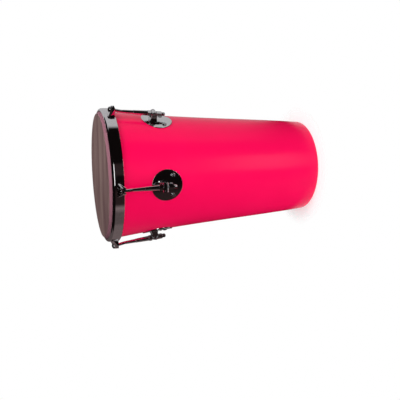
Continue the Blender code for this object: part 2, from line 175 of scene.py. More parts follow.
def collar_z(r, depth):
    """Height, at radius r, of the surface this deep under the skin's sloping collar."""
    return -(r - COLLAR_START_R) * COLLAR_SLOPE - depth * math.hypot(1, COLLAR_SLOPE)


def heights(low, high, steps):
    return [low + (high - low) * i / steps for i in range(steps + 1)]


# Birch plywood, sanded and varnished: pale tan, with grain lines along the shell drawn about
# 3 mm apart, since real birch grain is too fine to show, and a satin sheen.
plywood, sockets, links = new_material("birch_plywood_varnished", IOR=1.5)
coords = add_node(plywood, "ShaderNodeTexCoord")
along = add_node(
    plywood, "ShaderNodeMapping", {"Vector": coords.outputs["Object"], "Scale": (330, 330, 9)}
)
grain = add_node(
    plywood, "ShaderNodeTexNoise", {"Vector": along.outputs[0], "Scale": 1.0, "Detail": 6.0}
)
blotch = add_node(
    plywood,
    "ShaderNodeTexNoise",
    {"Vector": coords.outputs["Object"], "Scale": 14.0, "Detail": 2.0},
)
tan = add_node(
    plywood,
    "ShaderNodeValToRGB",
    {"Fac": grain.outputs["Fac"]},
    [(0.3, "#a9784a"), (0.7, "#d3a873")],
)
warm = add_node(
    plywood,
    "ShaderNodeValToRGB",
    {"Fac": blotch.outputs["Fac"]},
    [(0.35, "#e6d3bd"), (0.7, "#ffffff")],
)
wood = add_node(
    plywood,
    "ShaderNodeMix",
    {"Factor": 1.0, 6: tan.outputs["Color"], 7: warm.outputs["Color"]},
    data_type="RGBA",
    blend_type="MULTIPLY",
)
links.new(wood.outputs[2], sockets["Base Color"])
satin = add_node(
    plywood, "ShaderNodeMapRange", {"Value": grain.outputs["Fac"], "To Min": 0.38, "To Max": 0.55}
)
links.new(satin.outputs["Result"], sockets["Roughness"])
pores = add_node(
    plywood,
    "ShaderNodeBump",
    {"Height": grain.outputs["Fac"], "Strength": 0.25, "Distance": 0.0003},
)
links.new(pores.outputs["Normal"], sockets["Normal"])

rim_top = -HEIGHT + RIM_ROUND
core = arc((SMALL_R - WALL + RIM_ROUND, rim_top), RIM_ROUND, -90, -180, 6)
core += [(shell_r(z) - WALL, z) for z in heights(rim_top, HOOP_LOW_Z, 40)[1:]]
core += [(SHELL_TOP_R - WALL, EDGE_Z - EDGE_CUT), (EDGE_R - EDGE_FLAT, EDGE_Z), (EDGE_R, EDGE_Z)]
core += [(SHELL_TOP_R, collar_z(SHELL_TOP_R, FILM + GAP))]
core += [(SHELL_TOP_R - inward, LAMINATE_TOP_Z + TRIM_GAP) for inward in (0, LAMINATE)]
core += [(shell_r(z) - LAMINATE, z) for z in reversed(heights(rim_top, HOOP_LOW_Z, 60))]
core += arc((SMALL_R - RIM_ROUND, rim_top), RIM_ROUND - LAMINATE, 0, -90, 5)[1:]
core += [(SMALL_R - RIM_ROUND, -HEIGHT)]
shell_core = new_piece("shell_plywood", turn(core), plywood)
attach(shell_core, "drum_shell")
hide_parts("shell")


# Laminate. A high-pressure plastic sheet in neon pink, glued round the plywood and trimmed at
# both ends. Its gloss shows the studio as soft bands, rippled a little by the wood under it.

# A ring of points this close beside a rounded edge keeps the long face there from shading round.
SUPPORT = 0.0004

# High-pressure laminate, gloss pressed: a saturated pink under a clear face. The ripple is
# orange peel of about 9 mm, and the colour drifts slightly over a hand's width.
laminate, sockets, links = new_material(
    "plastic_laminate_gloss", IOR=1.5, Specular_IOR_Level=0.25
)
coords = add_node(laminate, "ShaderNodeTexCoord")
drift = add_node(
    laminate,
    "ShaderNodeTexNoise",
    {"Vector": coords.outputs["Object"], "Scale": 9.0, "Detail": 2.0},
)
pink = add_node(
    laminate,
    "ShaderNodeValToRGB",
    {"Fac": drift.outputs["Fac"]},
    [(0.1, "#f20050"), (0.9, "#fd0056")],
)
links.new(pink.outputs["Color"], sockets["Base Color"])
haze = add_node(
    laminate, "ShaderNodeMapRange", {"Value": drift.outputs["Fac"], "To Min": 0.2, "To Max": 0.27}
)
links.new(haze.outputs["Result"], sockets["Roughness"])
peel = add_node(
    laminate,
    "ShaderNodeTexNoise",
    {"Vector": coords.outputs["Object"], "Scale": 110.0, "Detail": 1.0},
)
ripple = add_node(
    laminate,
    "ShaderNodeBump",
    {"Height": peel.outputs["Fac"], "Strength": 0.05, "Distance": 0.0004},
)
links.new(ripple.outputs["Normal"], sockets["Normal"])

skin = [(SMALL_R, rim_top), (shell_r(rim_top + SUPPORT), rim_top + SUPPORT)]
for z in heights(rim_top, LAMINATE_TOP_Z, 90)[1:]:
    skin.append((shell_r(z) if z < HOOP_LOW_Z else SHELL_TOP_R, z))
skin += [(SHELL_TOP_R - LAMINATE, LAMINATE_TOP_Z)]
skin += [(shell_r(z) - LAMINATE, z) for z in reversed(heights(rim_top, HOOP_LOW_Z, 60))]
skin += arc((SMALL_R - RIM_ROUND, rim_top), RIM_ROUND - LAMINATE, 0, -70, 5)[1:]
skin += reversed(arc((SMALL_R - RIM_ROUND, rim_top), RIM_ROUND, 0, -70, 5)[1:])
shell_face = new_piece("shell_laminate", turn(skin), laminate)
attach(shell_face, "drum_shell")


# Drum head. A plastic film faced with napa, heat-formed with a sloping collar, whose skirt is
# crimped into the flesh hoop. It is stretched over the bearing edge when the hoop is pulled down.

FLESH_IN_R = 0.147375
FLESH_WALL = 0.0011
FLESH_TOP_Z = -0.009422
FLESH_LOW_Z = -0.019422
SKIRT_IN_R = FLESH_IN_R + FLESH_WALL + GAP
SKIRT_OUT_R = SKIRT_IN_R + FILM
FOLD = 0.0007
FOLD_EASE = 0.00004
HEM = 0.0005
HEM_DROP = 0.0004
FADE_BEFORE_FOLD = 0.0009
FADE_PAST_FOLD = 0.0004

# Napa facing on film, embossed: brown-grey and matt, with a leather grain drawn at 2 mm so
# that it shows, and long faint streaks from its stretch. The bare collar is thinner, and its
# pinkish tint is painted: it stands in for the pink shell's light showing through the film.
napa, sockets, links = new_material("napa_faced_film", IOR=1.45)
coords = add_node(napa, "ShaderNodeTexCoord")
level = add_node(
    napa,
    "ShaderNodeVectorMath",
    {0: coords.outputs["Object"], 1: (1, 1, 0)},
    operation="MULTIPLY",
)
radius = add_node(napa, "ShaderNodeVectorMath", {0: level.outputs[0]}, operation="LENGTH")
stretch = add_node(
    napa, "ShaderNodeMapping", {"Vector": coords.outputs["Object"], "Scale": (3.5, 22, 8)}
)
streak = add_node(
    napa, "ShaderNodeTexNoise", {"Vector": stretch.outputs[0], "Scale": 1.0, "Detail": 4.0}
)
brown = add_node(
    napa,
    "ShaderNodeValToRGB",
    {"Fac": streak.outputs["Fac"]},
    [(0.34, "#715253"), (0.66, "#977c76")],
)
# Painted show-through: the film turns pinkish across the fold, for the shell's pink light coming
# through the thin collar.
edge = add_node(
    napa,
    "ShaderNodeMapRange",
    {
        "Value": radius.outputs["Value"],
        "From Min": COLLAR_START_R - FADE_BEFORE_FOLD,
        "From Max": COLLAR_START_R + FADE_PAST_FOLD,
    },
)
face = add_node(
    napa,
    "ShaderNodeMix",
    {"Factor": edge.outputs["Result"], 6: brown.outputs["Color"], 7: linear("#94616f")},
    data_type="RGBA",
)
links.new(face.outputs[2], sockets["Base Color"])
matt = add_node(
    napa, "ShaderNodeMapRange", {"Value": streak.outputs["Fac"], "To Min": 0.55, "To Max": 0.75}
)
links.new(matt.outputs["Result"], sockets["Roughness"])
leather = add_node(
    napa, "ShaderNodeTexVoronoi", {"Vector": coords.outputs["Object"], "Scale": 520.0}
)
emboss = add_node(
    napa,
    "ShaderNodeBump",
    {"Height": leather.outputs["Distance"], "Strength": 0.25, "Distance": 0.0002},
)
links.new(emboss.outputs["Normal"], sockets["Normal"])

foot_z = FLESH_LOW_Z + FLESH_WALL + GAP
fold_r = COLLAR_START_R + FOLD
hem_r = SKIRT_OUT_R - HEM
film = [(0.0, 0.0)] + [(COLLAR_START_R * share, 0.0) for share in (0.25, 0.5, 0.75, 0.95, 0.99)]
film += [(COLLAR_START_R, -FOLD_EASE), (fold_r, collar_z(fold_r, 0) - FOLD_EASE / 2)]
film += [(hem_r, collar_z(hem_r, 0)), (SKIRT_OUT_R, collar_z(SKIRT_OUT_R, 0) - HEM_DROP)]
film += [(SKIRT_OUT_R, foot_z), (SKIRT_IN_R, foot_z), (SKIRT_IN_R, collar_z(SKIRT_IN_R, FILM))]
film += [(COLLAR_START_R - GAP, -FILM), (0.0, -FILM)]
head = new_piece("drum_head_napa", turn(film, closed=False), napa, 25)
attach(head, "hoop_and_head")
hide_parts("drum_head")


# Flesh hoop. A channel of rolled aluminium, bent to a ring, that grips the head's skirt. It sits
# loose round the shell, under the counter hoop's rolled top, and is seen only from below.

FLESH_OUT_R = FLESH_IN_R + 0.0050
FLESH_STEP = 0.0017
FLESH_ROUND = 0.0006
FLESH_LIP_ROUND = 0.0004

# Rolled aluminium, mill finish: a satin grey whose rolling lines run round the ring, drawn
# 0.5 mm apart.
aluminium, sockets, links = new_material("rolled_aluminium", Metallic=1.0)
coords = add_node(aluminium, "ShaderNodeTexCoord")
around = add_node(
    aluminium, "ShaderNodeMapping", {"Vector": coords.outputs["Object"], "Scale": (30, 30, 2000)}
)
roll = add_node(
    aluminium, "ShaderNodeTexNoise", {"Vector": around.outputs[0], "Scale": 1.0, "Detail": 3.0}
)
grey = add_node(
    aluminium,
    "ShaderNodeValToRGB",
    {"Fac": roll.outputs["Fac"]},
    [(0.3, "#c3c5c8"), (0.7, "#dcdde0")],
)
links.new(grey.outputs["Color"], sockets["Base Color"])
mill = add_node(
    aluminium, "ShaderNodeMapRange", {"Value": roll.outputs["Fac"], "To Min": 0.3, "To Max": 0.5}
)
links.new(mill.outputs["Result"], sockets["Roughness"])

floor_z = FLESH_LOW_Z + FLESH_WALL
step_z = FLESH_TOP_Z - FLESH_STEP
corner_z = FLESH_LOW_Z + FLESH_ROUND
channel = arc((FLESH_IN_R + FLESH_ROUND, corner_z), FLESH_ROUND, 180, 270, 4)
channel += arc((FLESH_OUT_R - FLESH_ROUND, corner_z), FLESH_ROUND, 270, 360, 4)
lip = (FLESH_OUT_R - FLESH_LIP_ROUND, FLESH_TOP_Z - FLESH_LIP_ROUND)
channel += arc(lip, FLESH_LIP_ROUND, 0, 90, 3)
channel += [(SKIRT_OUT_R + GAP, FLESH_TOP_Z), (SKIRT_OUT_R + GAP, floor_z)]
channel += [(SKIRT_IN_R - GAP, floor_z), (SKIRT_IN_R - GAP, step_z), (FLESH_IN_R, step_z)]
flesh_hoop = new_piece("flesh_hoop_channel", turn(channel), aluminium)
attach(flesh_hoop, "hoop_and_head")
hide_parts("flesh_hoop")


# Counter hoop. A tall steel band, welded to a ring with its top rolled inwards, then polished and
# chromed. It lies on the flesh hoop and pulls the head down over the bearing edge.

HOOP_TOP_Z = -0.0054
HOOP_R = 0.154975
HOOP_SHEET = 0.0018
HOOP_TURN = 0.0057
HOOP_HEM = 0.0006
HOOP_LIP = 0.0002
HOOP_CHAMFER = 0.0003
HOOP_CHAMFER_H = 0.0004
BAND_SUPPORT = 0.0005

# Chrome plate on polished steel: a mirror with a faint blue-grey tone. Buffing marks of about
# 4 mm vary its roughness a little, and a long soft wave from the rolling bends its reflections.
chrome, sockets, links = new_material("chrome_plate_polished", Metallic=1.0)
coords = add_node(chrome, "ShaderNodeTexCoord")
buff = add_node(
    chrome,
    "ShaderNodeTexNoise",
    {"Vector": coords.outputs["Object"], "Scale": 240.0, "Detail": 5.0},
)
tone = add_node(
    chrome, "ShaderNodeValToRGB", {"Fac": buff.outputs["Fac"]}, [(0.3, "#e2e2e4"), (0.7, "#ececee")]
)
links.new(tone.outputs["Color"], sockets["Base Color"])
polish = add_node(
    chrome, "ShaderNodeMapRange", {"Value": buff.outputs["Fac"], "To Min": 0.035, "To Max": 0.085}
)
links.new(polish.outputs["Result"], sockets["Roughness"])
wave = add_node(
    chrome, "ShaderNodeTexNoise", {"Vector": coords.outputs["Object"], "Scale": 60.0, "Detail": 0.0}
)
rolled = add_node(
    chrome, "ShaderNodeBump", {"Height": wave.outputs["Fac"], "Strength": 0.04, "Distance": 0.0006}
)
links.new(rolled.outputs["Normal"], sockets["Normal"])

turn_at = (HOOP_R - HOOP_TURN, HOOP_TOP_Z - HOOP_TURN)
inner_r = HOOP_R - HOOP_SHEET
band = [(HOOP_R, HOOP_LOW_Z + HOOP_HEM + BAND_SUPPORT), (HOOP_R, turn_at[1] - BAND_SUPPORT)]
band += arc(turn_at, HOOP_TURN, 0, 90, 18)
band += arc((turn_at[0] - HOOP_LIP, HOOP_TOP_Z - HOOP_SHEET / 2), HOOP_SHEET / 2, 90, 270, 6)
band += arc(turn_at, HOOP_TURN - HOOP_SHEET, 90, 0, 12)
band += [(inner_r, HOOP_LOW_Z + HOOP_CHAMFER_H), (inner_r + HOOP_CHAMFER, HOOP_LOW_Z)]
band += arc((HOOP_R - HOOP_HEM, HOOP_LOW_Z + HOOP_HEM), HOOP_HEM, -90, 0, 6)
hoop = new_piece("counter_hoop_band", turn(band), chrome, 40)
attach(hoop, "hoop_and_head")
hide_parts("counter_hoop")


# Hoop ears. Five steel beaks, cut with a slot that opens outwards and a round seat above it,
# bent, welded to the band before plating, and chromed with it. A unit's pieces are made at
# azimuth 0, where X points away from the drum's axis, and then turned into their five places.

UNITS = 5
FIRST_AZIMUTH = math.radians(-90)
EAR_REACH = 0.0172
EAR_H = 0.0173
EAR_EDGE = 0.0012
EAR_EASE = 0.0004
EAR_ROOT = 0.0040
EAR_ROOT_HALF = 0.0170
EAR_LOW_HALF = 0.0080
EAR_HALF = 0.0070
EAR_NOSE_HALF = 0.0036
SEAT_ABOVE_HOOP = 0.0093

# The rod that the ears are cut for, which leans out from its barrel and bends out again at its neck
BARREL_Z = -0.1190
BARREL_AXIS_R = 0.153386
ROD_LEAN = math.radians(5.337456)
BEND_AT = 0.073618
NECK_LENGTH = 0.0247
NECK_LEAN = math.radians(6.2)
ROD_R = 0.0035
ROD_HEAD_R = 0.0064
SLOT_SPARE = 0.0006

rod_frame = Matrix.Translation((BARREL_AXIS_R, 0, BARREL_Z)) @ Matrix.Rotation(ROD_LEAN, 4, "Y")
neck_frame = Matrix.Translation((0, 0, BEND_AT)) @ Matrix.Rotation(NECK_LEAN, 4, "Y")


def unit_turn(unit):
    return Matrix.Rotation(FIRST_AZIMUTH + (unit - 1) * 2 * math.pi / UNITS, 4, "Z")


def circle(radius, z, sides=32):
    angles = [2 * math.pi * i / sides for i in range(sides)]
    return [(radius * math.cos(a), radius * math.sin(a), z) for a in angles]


def loft(rings, tube=False):
    """Rings of equal point counts joined one to the next. A tube's last ring meets its first."""
    bm = bmesh.new()
    loops = [[bm.verts.new(point) for point in ring] for ring in rings]
    if tube:
        loops.append(loops[0])
    else:
        bm.faces.new(loops[0])
        bm.faces.new(loops[-1])
    count = len(loops[0])
    for low, high in zip(loops, loops[1:]):
        for i in range(count):
            bm.faces.new((low[i], low[(i + 1) % count], high[(i + 1) % count], high[i]))
    return bm


def hull(points):
    """The solid with these corners, in any order."""
    bm = bmesh.new()
    verts = [bm.verts.new(point) for point in points]
    made = bmesh.ops.convex_hull(bm, input=verts)
    spare = made["geom_interior"] + made["geom_unused"]
    loose = {v for v in spare if isinstance(v, bmesh.types.BMVert)}
    bmesh.ops.delete(bm, geom=list(loose), context="VERTS")
    bmesh.ops.dissolve_limit(bm, angle_limit=math.radians(0.5), verts=bm.verts, edges=bm.edges)
    return bm


def box(low, high):
    (x0, y0, z0), (x1, y1, z1) = low, high
    return hull([(x, y, z) for x in (x0, x1) for y in (y0, y1) for z in (z0, z1)])


def cutter(bm, matrix=Matrix.Identity(4)):
    piece = new_piece("cutter", bm, chrome)
    piece.matrix_world = matrix
    return piece


def cut_and_eased(piece, cuts, joins=(), ease=0.0, segments=2):
    """The piece after its unions, its cuts and a rounding of its corners, as plain mesh."""
    for other, operation in [(o, "UNION") for o in joins] + [(o, "DIFFERENCE") for o in cuts]:
        step = piece.modifiers.new(operation, "BOOLEAN")
        step.object = other
        step.operation = operation
        step.solver = "EXACT"
    if ease:
        round_off = piece.modifiers.new("ease", "BEVEL")
        round_off.width = ease
        round_off.segments = segments
        round_off.limit_method = "ANGLE"
        round_off.angle_limit = math.radians(35)
        round_off.harden_normals = True
    bpy.context.view_layer.update()
    graph = bpy.context.evaluated_depsgraph_get()
    mesh = bpy.data.meshes.new_from_object(piece.evaluated_get(graph))
    mesh.name = piece.name
    piece.modifiers.clear()
    piece.data = mesh
    for other in [*cuts, *joins]:
        bpy.data.objects.remove(other, do_unlink=True)
    return piece


def five(piece, matrix, body, node):
    """Copies of a unit's piece in the five places, each riding on its body for its node."""
    for unit in range(1, UNITS + 1):
        copy = bpy.data.objects.new(f"{piece.name}_{unit}", piece.data)
        bpy.context.scene.collection.objects.link(copy)
        copy.matrix_world = unit_turn(unit) @ matrix
        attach(copy, body.format(unit))
        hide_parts(node.format(unit))
    bpy.data.objects.remove(piece, do_unlink=True)


ear_face = HOOP_R + GAP
ear_root = ear_face - EAR_ROOT
ear_nose = HOOP_R + EAR_REACH
ear_top = HOOP_LOW_Z + EAR_H
seat_z = HOOP_LOW_Z + SEAT_ABOVE_HOOP
outline = [
    (ear_root, EAR_ROOT_HALF, ear_top),
    (ear_root, EAR_ROOT_HALF, ear_top - 2 * EAR_EDGE),
    (ear_root, EAR_LOW_HALF, HOOP_LOW_Z),
    (ear_nose - 3 * EAR_EDGE, EAR_HALF, HOOP_LOW_Z),
    (ear_nose - EAR_EDGE, EAR_HALF - EAR_EDGE, HOOP_LOW_Z),
    (ear_nose, EAR_NOSE_HALF, HOOP_LOW_Z + EAR_EDGE),
    (ear_nose, EAR_NOSE_HALF, seat_z - 2 * EAR_EDGE),
    (ear_nose - EAR_EDGE, EAR_HALF - EAR_EDGE, seat_z - EAR_EDGE),
    (ear_nose - 5 * EAR_EDGE, EAR_HALF, seat_z),
]
corners = [(x, side * y, z) for x, y, z in outline for side in (-1, 1)]
beak = new_piece("hoop_ear_beak", hull(corners), chrome)
slot_r = ROD_R + SLOT_SPARE
seat_r = ROD_HEAD_R + SLOT_SPARE
seat_at = NECK_LENGTH - GAP
far = 2 * EAR_REACH
behind = [(ear_face - far, HOOP_LOW_Z - EAR_H), (ear_face, HOOP_LOW_Z - EAR_H)]
behind += [(ear_face, ear_top + EAR_H), (ear_face - far, ear_top + EAR_H)]
neck_place = rod_frame @ neck_frame
cuts = [
    cutter(turn(behind)),
    cutter(loft([circle(slot_r, -far), circle(slot_r, 2 * far)]), neck_place),
    cutter(box((0, -slot_r, -far), (far, slot_r, 2 * far)), neck_place),
    cutter(loft([circle(seat_r, seat_at), circle(seat_r, seat_at + far)]), neck_place),
    cutter(box((0, -seat_r, seat_at), (far, seat_r, seat_at + far)), neck_place),
]
ear = cut_and_eased(beak, cuts, ease=EAR_EASE)
five(ear, Matrix.Identity(4), "hoop_and_head", "hoop_ear_{}")


# Lug plates. Five chromed steel discs, pressed to the shell's curve with a rolled edge, that
# spread the pull of the lug over the laminate.

PLATE_Z = -0.1265
PLATE_R = 0.0354
PLATE_T = 0.0016
PLATE_ROUND = 0.0006
PLATE_SUPPORT = 0.0002
SEAT = 0.0004


def plate_ring(reach, lift, sides=96):
    """A ring of the plate at a distance from its centre, lifted off its inner face."""
    slope = shell_slope(PLATE_Z)
    points = []
    for i in range(sides):
        angle = 2 * math.pi * i / sides
        z = PLATE_Z + reach * math.cos(angle) * math.cos(slope)
        radius = shell_r(z) + (SEAT + lift) / math.cos(slope)
        sweep = reach * math.sin(angle) / radius
        points.append((radius * math.cos(sweep), radius * math.sin(sweep), z))
    return points


reaches = [PLATE_R * share for share in (0.02, 0.1, 0.25, 0.4, 0.55, 0.7, 0.85, 0.95)]
reaches += [PLATE_R - PLATE_ROUND - PLATE_SUPPORT]
rings = [plate_ring(reach, 0) for reach in reaches]
rings += [plate_ring(PLATE_R, lift) for lift in (0, PLATE_T - PLATE_ROUND)]
for reach, lift in arc((PLATE_R - PLATE_ROUND, PLATE_T - PLATE_ROUND), PLATE_ROUND, 0, 90, 4)[1:]:
    rings.append(plate_ring(reach, lift))
rings += [plate_ring(reach, PLATE_T) for reach in reversed(reaches)]
plate = new_piece("lug_plate_disc", loft(rings), chrome, 40)
five(plate, Matrix.Identity(4), "drum_shell", "lug_plate_{}")


# Lug brackets. A cast clevis on each plate: a saddle foot with two round-topped cheeks, drilled
# for the barrel's journals and chromed.

BARREL_HEIGHT = 0.0155
JOURNAL_R = 0.0036
RUNNING = 0.0004
CHEEK_IN = 0.0070
CHEEK_OUT = 0.0102
CHEEK_R = 0.0066
CHEEK_SPREAD = 0.0004
FOOT_T = 0.0030
FOOT_PAST_CHEEK = 0.0020
CASTING_EASE = 0.0005

sunk = -BARREL_HEIGHT - FOOT_T
plate_face = PLATE_T + SEAT + GAP
foot_top = plate_face + FOOT_T - BARREL_HEIGHT
spread = CHEEK_R + CHEEK_SPREAD
cheek_side = [(sunk, -spread)] + arc((0, 0), CHEEK_R, -90, 90, 24) + [(sunk, spread)]
cheeks = []
for low, high in ((-CHEEK_OUT, -CHEEK_IN), (CHEEK_IN, CHEEK_OUT)):
    cheeks.append(cutter(hull([(x, y, z) for x, z in cheek_side for y in (low, high)])))
reach = spread + FOOT_PAST_CHEEK
flank = reach - FOOT_T / 2
foot_side = [(sunk, -reach), (foot_top, -flank), (foot_top, flank), (sunk, reach)]
foot = cutter(hull([(x, y, z) for x, z in foot_side for y in (-CHEEK_OUT, CHEEK_OUT)]))
core_r = shell_r(PLATE_Z - PLATE_R) / 2
inside = [(core_r, PLATE_Z - PLATE_R)]
for z in heights(PLATE_Z - PLATE_R, PLATE_Z + PLATE_R, 12):
    inside.append((shell_r(z) + plate_face, z))
inside += [(core_r, PLATE_Z + PLATE_R)]
across = Matrix.Rotation(math.pi / 2, 4, "X")
hole_r = JOURNAL_R + RUNNING
journal = loft([circle(hole_r, -2 * CHEEK_OUT), circle(hole_r, 2 * CHEEK_OUT)])
cuts = [cutter(turn(inside), rod_frame.inverted()), cutter(journal, across)]
cheeks[0].name = "lug_bracket_clevis"
bracket = cut_and_eased(cheeks[0], cuts, [cheeks[1], foot], ease=CASTING_EASE)
five(bracket, rod_frame, "drum_shell", "lug_bracket_{}")


# Lug screws and their nuts. Two pan-head screws hold each plate, driven from outside with a
# cross slot, and a plain hexagon nut pulls each one up inside the shell. All are zinc plated.

SCREW_ACROSS = 0.0224
SCREW_BELOW = 0.0133
SCREW_R = 0.0025
SCREW_PITCH = 0.0008
SCREW_THREAD = 0.0005
SCREW_SHANK = 0.0020
SCREW_PAST_NUT = 0.0016
SCREW_HEAD_R = 0.0046
SCREW_HEAD_H = 0.0026
SCREW_HEAD_ROUND = 0.0016
SCREW_CROWN_R = 0.3 * SCREW_HEAD_R
BACK_NUT_FLATS = 0.0080
BACK_NUT_H = 0.0045
BACK_NUT_GAP = 0.0009
SIDES = {"left": -1, "right": 1}

# A way of the cross slot: half its length, half its width and its height, at its mouth and floor
CROSS_WAYS = ((0.0026, 0.00055, 0.0040), (0.0012, 0.0004, 0.0010))

# A hexagon's chamfer starts at this share of the width over its flats, and falls at this slope.
CHAMFER_START = 0.97
CHAMFER_SLOPE = 0.58

# Zinc plate, passivated: a bright grey, softer than chrome, with a faint cloudy bloom a few
# millimetres wide.
zinc, sockets, links = new_material("zinc_plate_passivated", Metallic=1.0)
coords = add_node(zinc, "ShaderNodeTexCoord")
bloom = add_node(
    zinc, "ShaderNodeTexNoise", {"Vector": coords.outputs["Object"], "Scale": 420.0, "Detail": 3.0}
)
cloudy = add_node(
    zinc, "ShaderNodeValToRGB", {"Fac": bloom.outputs["Fac"]}, [(0.3, "#c4c6ca"), (0.7, "#dadce0")]
)
links.new(cloudy.outputs["Color"], sockets["Base Color"])
dull = add_node(
    zinc, "ShaderNodeMapRange", {"Value": bloom.outputs["Fac"], "To Min": 0.08, "To Max": 0.18}
)
links.new(dull.outputs["Result"], sockets["Roughness"])


def thread(root_r, crest_r, pitch, low, high, sides=24, rows=6):
    """Rings of a screw thread from low to high, faded out over its first and last turns."""
    count = round((high - low) / pitch * rows)
    rings = []
    for row in range(count + 1):
        z = low + (high - low) * row / count
        fade = min(1.0, (z - low) / pitch, (high - z) / pitch)
        ring = []
        for i in range(sides):
            turns = (z / pitch - i / sides) % 1.0
            radius = crest_r - (crest_r - root_r) * abs(2 * turns - 1) * fade
            angle = 2 * math.pi * i / sides
            ring.append((radius * math.cos(angle), radius * math.sin(angle), z))
        rings.append(ring)
    return rings


def hexagon(flats, limit, z, sides=24):
    """A hexagon with its flats towards Y, whose corners are cut back to a radius."""
    points = []
    for i in range(sides):
        angle = 2 * math.pi * i / sides
        from_flat = angle % (math.pi / 3) - math.pi / 6
        radius = min(flats / 2 / math.cos(from_flat), limit)
        points.append((radius * math.cos(angle), radius * math.sin(angle), z))
    return points


def hexagon_end(flats, z, inward, sides=24):
    """Rings of a hexagon's chamfered end. The flat face is at z and the body lies inward of it."""
    corner = flats / 2 / math.cos(math.pi / 6)
    start = flats / 2 * CHAMFER_START
    rings = []
    for share in (0, 0.35, 0.7, 1):
        limit = start + (corner - start) * share
        rings.append(hexagon(flats, limit, z + inward * (limit - start) * CHAMFER_SLOPE, sides))
    return rings


def screw_frame(side):
    """Origin on the plate's outer face at a screw, Z out of the shell."""
    z = PLATE_Z - SCREW_BELOW * math.cos(shell_slope(PLATE_Z))
    radius = shell_r(z) + (SEAT + PLATE_T) / math.cos(shell_slope(z))
    sideways = Matrix.Rotation(side * SCREW_ACROSS / radius, 4, "Z")
    outward = Matrix.Rotation(math.pi / 2 + shell_slope(z), 4, "Y")
    return sideways @ Matrix.Translation((radius, 0, z)) @ outward


nut_face = -(SEAT + PLATE_T + WALL + BACK_NUT_GAP)
nut_end = nut_face - BACK_NUT_H
screw_end = nut_end - SCREW_PAST_NUT
head_top = SCREW_HEAD_H + GAP
head_turn = (SCREW_HEAD_R - SCREW_HEAD_ROUND, head_top - SCREW_HEAD_ROUND)
rings = thread(SCREW_R - SCREW_THREAD, SCREW_R, SCREW_PITCH, screw_end, -SCREW_SHANK)
rings += [circle(SCREW_R, GAP, 24), circle(SCREW_HEAD_R, GAP, 24)]
rings += [circle(r, z, 24) for r, z in arc(head_turn, SCREW_HEAD_ROUND, 0, 90, 5)]
rings += [circle(SCREW_CROWN_R, head_top, 24)]
screw = new_piece("lug_screw_cross", loft(rings), zinc)
cross = [(x * s, y * t, z) for x, y, z in CROSS_WAYS for t in (1, -1) for s in (1, -1)]
cuts = [cutter(hull(cross), Matrix.Rotation(turned, 4, "Z")) for turned in (0, math.pi / 2)]
screw = cut_and_eased(screw, cuts)
rings = [circle(SCREW_R + GAP, nut_face, 24)] + hexagon_end(BACK_NUT_FLATS, nut_face, -1)
rings += list(reversed(hexagon_end(BACK_NUT_FLATS, nut_end, 1)))
rings += [circle(SCREW_R + GAP, nut_end, 24)]
back_nut = new_piece("back_nut_hexagon", loft(rings, tube=True), zinc, 25)
for side, sign in SIDES.items():
    for piece, node in ((screw, "lug_screw_{}_" + side), (back_nut, "back_nut_{}_" + side)):
        copy = bpy.data.objects.new(f"{piece.name}_{side}", piece.data)
        bpy.context.scene.collection.objects.link(copy)
        five(copy, screw_frame(sign), "drum_shell", node)
for piece in (screw, back_nut):
    bpy.data.objects.remove(piece, do_unlink=True)


# Swivel barrels. A turned steel cross-pin in each clevis: journals at its ends, a cross hole
# that the rod passes through and a flat that the tuning nut bears on.

BARREL_R = 0.0065
BARREL_FLAT = 0.0012
BARREL_EASE = 0.0004

half = CHEEK_IN - GAP
sections = [(JOURNAL_R - BARREL_EASE, -CHEEK_OUT), (JOURNAL_R, -CHEEK_OUT + BARREL_EASE)]
sections += [(JOURNAL_R, -half), (BARREL_R - BARREL_EASE, -half), (BARREL_R, -half + BARREL_EASE)]
sections += [(r, -y) for r, y in reversed(sections)]
rings = [[across @ Vector(point) for point in circle(r, y, 40)] for r, y in sections]
barrel = new_piece("swivel_barrel_pin", loft(rings), chrome)
long_way = 2 * CHEEK_OUT
bore = ROD_R + RUNNING
cuts = [
    cutter(loft([circle(bore, -long_way), circle(bore, long_way)])),
    cutter(box((-long_way, -long_way, -long_way), (long_way, long_way, BARREL_FLAT - BARREL_R))),
]
five(cut_and_eased(barrel, cuts), rod_frame, "barrel_{}", "swivel_barrel_{}")


# Tension rods. Forged steel: a domed head and a bent neck at the hoop, a shank that swells
# towards the lug, a hexagon collar for the key, and a rolled thread through the barrel.

ROD_PITCH = 0.0010
ROD_THREAD = 0.0006
ROD_END = -0.0260
ROD_TIP_CUT = 0.0008
ROD_TIP_H = 0.0004
UNDERCUT = 0.0006
COLLAR_FLATS = 0.0120
COLLAR_LOW = 0.0072
COLLAR_TOP = 0.0150
SHANK_MOUTH = 0.0465
SHANK_R = 0.0059
SHANK_MOUTH_R = 0.0048
SHANK_STEP = 0.0004
TAPER_END_R = 0.0037
TAPER_TO_BEND = 0.0040
BEND_LENGTH = 0.0040
ROD_HEAD_H = 0.0058
ROD_HEAD_EDGE = 0.0004
ROD_HEAD_SKIRT = 0.35
ROD_HEAD_FILLET = 0.0006
ROD_HEAD_FLARE = 0.0004

root_r = ROD_R - ROD_THREAD
rings = [circle(ROD_R - ROD_TIP_CUT, ROD_END, 24)]
rings += thread(root_r, ROD_R, ROD_PITCH, ROD_END + ROD_TIP_H, COLLAR_LOW - UNDERCUT)
rings += hexagon_end(COLLAR_FLATS, COLLAR_LOW, 1)
rings += list(reversed(hexagon_end(COLLAR_FLATS, COLLAR_TOP, -1)))

